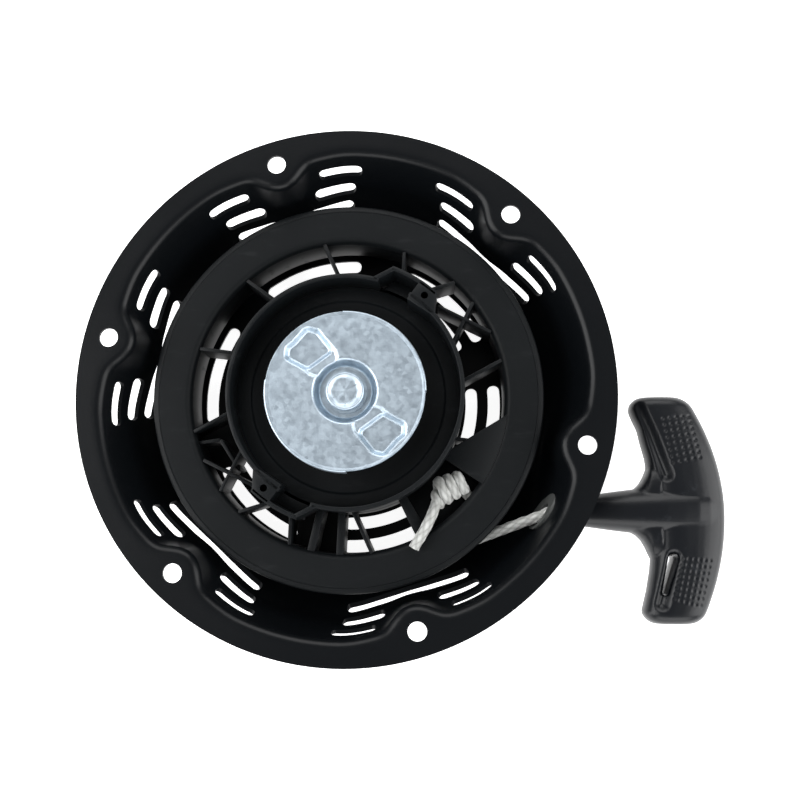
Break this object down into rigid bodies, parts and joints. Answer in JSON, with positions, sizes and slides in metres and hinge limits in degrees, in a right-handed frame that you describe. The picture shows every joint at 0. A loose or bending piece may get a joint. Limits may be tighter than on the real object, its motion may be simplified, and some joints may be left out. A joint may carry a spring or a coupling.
{
  "type": "recoil starter",
  "caption": "Recoil starter in a flanged round pressed steel case, with a spring-loaded rope reel, pawls, friction plate and T-shaped pull handle.",
  "frame": {"origin": "centre of the bolt circle on the mounting face of the flange", "axes": "+Z points at the engine, +X is the way the rope is pulled, +Y follows"},
  "size_m": [0.2893, 0.24, 0.0476],
  "materials": {
    "painted_steel": "satin black paint",
    "reel_plastic": "matte black moulded plastic",
    "zinc_steel": "bright zinc plating",
    "bare_steel": "machined",
    "spring_steel": "blued spring steel",
    "rope_braid": "white braided nylon",
    "handle_plastic": "satin black moulded plastic",
    "guide_plastic": "light grey moulded plastic"
  },
  "bodies": {
    "case": {"case": "painted_steel", "centre_post": "bare_steel", "rope_guide": "guide_plastic", "rope_run": "rope_braid", "thrust_washer": "bare_steel", "centre_screw": "zinc_steel", "screw_washer": "zinc_steel"},
    "reel": {"reel": "reel_plastic", "recoil_spring": "spring_steel", "rope_coil": "rope_braid", "rope_knot": "rope_braid", "rope_tail": "rope_braid", "friction_spring": "spring_steel", "pawl_1_pin": "bare_steel", "pawl_2_pin": "bare_steel", "pawl_1_spring": "spring_steel", "pawl_2_spring": "spring_steel"},
    "pawl_1": {"pawl_1": "bare_steel"},
    "pawl_2": {"pawl_2": "bare_steel"},
    "friction_plate": {"friction_plate": "zinc_steel"},
    "handle": {"handle": "handle_plastic", "handle_washer": "zinc_steel", "handle_knot": "rope_braid", "rope_lead": "rope_braid"}
  },
  "joints": [
    {"name": "reel_spin", "type": "hinge", "parent": "case", "child": "reel", "pos_m": [0, 0, 0], "axis": [0, 0, 1], "range_deg": [0, 880], "stiffness_Nm_per_rad": 0.05, "springref_deg": -171.89, "deforming": ["recoil_spring", "rope_run"]},
    {"name": "handle_pull", "type": "slide", "parent": "case", "child": "handle", "axis": [1, 0, 0], "range_m": [0, 1.25], "deforming": ["rope_lead"]},
    {"name": "plate_turn", "type": "hinge", "parent": "reel", "child": "friction_plate", "pos_m": [0, 0, 0], "axis": [0, 0, 1], "range_deg": [-30, 0], "stiffness_Nm_per_rad": 0.02},
    {"name": "pawl_1_swing", "type": "hinge", "parent": "reel", "child": "pawl_1", "pos_m": [-0.00434, 0.02462, 0], "axis": [0, 0, 1], "range_deg": [-30, 0], "deforming": ["pawl_1_spring"]},
    {"name": "pawl_2_swing", "type": "hinge", "parent": "reel", "child": "pawl_2", "pos_m": [0.00434, -0.02462, 0], "axis": [0, 0, 1], "range_deg": [-30, 0], "deforming": ["pawl_2_spring"]}
  ],
  "couplings": [
    {"joint": "handle_pull", "follows": "reel_spin", "m_per_rad": 0.081},
    {"joint": "pawl_1_swing", "follows": "plate_turn", "ratio": 1},
    {"joint": "pawl_2_swing", "follows": "plate_turn", "ratio": 1}
  ]
}
